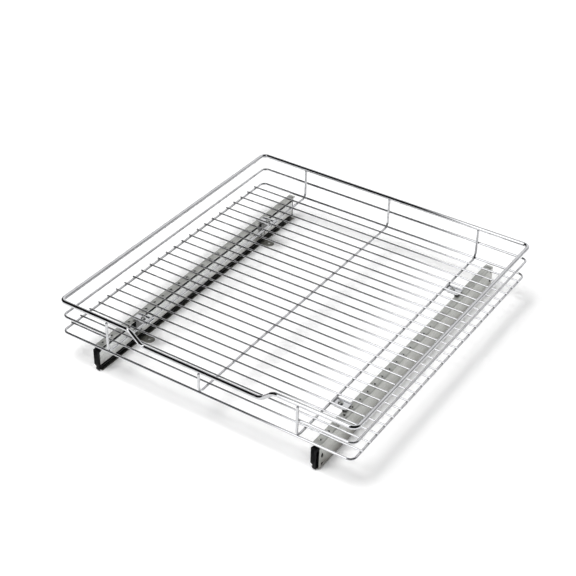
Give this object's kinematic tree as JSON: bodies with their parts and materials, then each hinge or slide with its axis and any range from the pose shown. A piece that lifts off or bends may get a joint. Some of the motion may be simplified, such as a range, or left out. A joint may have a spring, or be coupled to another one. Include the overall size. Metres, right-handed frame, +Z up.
{
  "type": "pull out cabinet basket",
  "caption": "Shallow chrome wire basket with a dipped front rim, rolling out of a cabinet on a pair of full extension ball bearing slides with floor mounting feet.",
  "frame": {"origin": "on the cabinet floor under the middle of the closed basket, at the bottom centre of its box", "axes": "+Z up; -Y is the front, the way the basket pulls out; +X to the right seen from the front"},
  "size_m": [0.508, 0.5352, 0.1062],
  "materials": {
    "bright_chrome": "bright chrome plate",
    "galvanised_rail": "galvanised sheet, satin",
    "bright_zinc": "bright zinc plate",
    "dark_zinc": "dark zinc plate",
    "black_zinc": "black zinc plate",
    "zinc_fixings": "zinc plate",
    "ball_steel": "polished ball steel",
    "black_plastic": "moulded black plastic"
  },
  "bodies": {
    "slides": {"left_rail": "galvanised_rail", "right_rail": "galvanised_rail", "left_outer_member": "black_zinc", "right_outer_member": "black_zinc", "left_rear_stop": "black_plastic", "right_rear_stop": "black_plastic", "left_front_foot": "galvanised_rail", "left_rear_foot": "galvanised_rail", "right_front_foot": "galvanised_rail", "right_rear_foot": "galvanised_rail"},
    "basket": {"top_rim": "bright_chrome", "middle_ring": "bright_chrome", "bottom_ring": "bright_chrome", "floor_wires": "bright_chrome", "left_rib": "bright_chrome", "middle_rib": "bright_chrome", "right_rib": "bright_chrome", "left_front_tab": "bright_chrome", "left_rear_tab": "bright_chrome", "right_front_tab": "bright_chrome", "right_rear_tab": "bright_chrome", "left_front_carrier": "dark_zinc", "left_rear_carrier": "dark_zinc", "right_front_carrier": "dark_zinc", "right_rear_carrier": "dark_zinc", "clamp_screws": "zinc_fixings", "clamp_nuts": "zinc_fixings", "carrier_rivets": "zinc_fixings", "left_inner_member": "bright_zinc", "right_inner_member": "bright_zinc", "left_front_cap": "black_plastic", "right_front_cap": "black_plastic"},
    "left_middle": {"left_middle_member": "black_zinc"},
    "left_outer_race": {"left_outer_cage": "bright_zinc", "left_outer_balls": "ball_steel"},
    "left_inner_race": {"left_inner_cage": "bright_zinc", "left_inner_balls": "ball_steel"},
    "right_middle": {"right_middle_member": "black_zinc"},
    "right_outer_race": {"right_outer_cage": "bright_zinc", "right_outer_balls": "ball_steel"},
    "right_inner_race": {"right_inner_cage": "bright_zinc", "right_inner_balls": "ball_steel"}
  },
  "joints": [
    {"name": "basket_slide", "type": "slide", "parent": "slides", "child": "basket", "axis": [0, -1, 0], "range_m": [0, 0.48]},
    {"name": "left_middle_slide", "type": "slide", "parent": "slides", "child": "left_middle", "axis": [0, -1, 0], "range_m": [0, 0.24]},
    {"name": "left_outer_race_slide", "type": "slide", "parent": "slides", "child": "left_outer_race", "axis": [0, -1, 0], "range_m": [0, 0.12]},
    {"name": "left_inner_race_slide", "type": "slide", "parent": "slides", "child": "left_inner_race", "axis": [0, -1, 0], "range_m": [0, 0.36]},
    {"name": "right_middle_slide", "type": "slide", "parent": "slides", "child": "right_middle", "axis": [0, -1, 0], "range_m": [0, 0.24]},
    {"name": "right_outer_race_slide", "type": "slide", "parent": "slides", "child": "right_outer_race", "axis": [0, -1, 0], "range_m": [0, 0.12]},
    {"name": "right_inner_race_slide", "type": "slide", "parent": "slides", "child": "right_inner_race", "axis": [0, -1, 0], "range_m": [0, 0.36]}
  ],
  "couplings": [
    {"joint": "left_middle_slide", "follows": "basket_slide", "ratio": 0.5},
    {"joint": "left_outer_race_slide", "follows": "basket_slide", "ratio": 0.25},
    {"joint": "left_inner_race_slide", "follows": "basket_slide", "ratio": 0.75},
    {"joint": "right_middle_slide", "follows": "basket_slide", "ratio": 0.5},
    {"joint": "right_outer_race_slide", "follows": "basket_slide", "ratio": 0.25},
    {"joint": "right_inner_race_slide", "follows": "basket_slide", "ratio": 0.75}
  ]
}
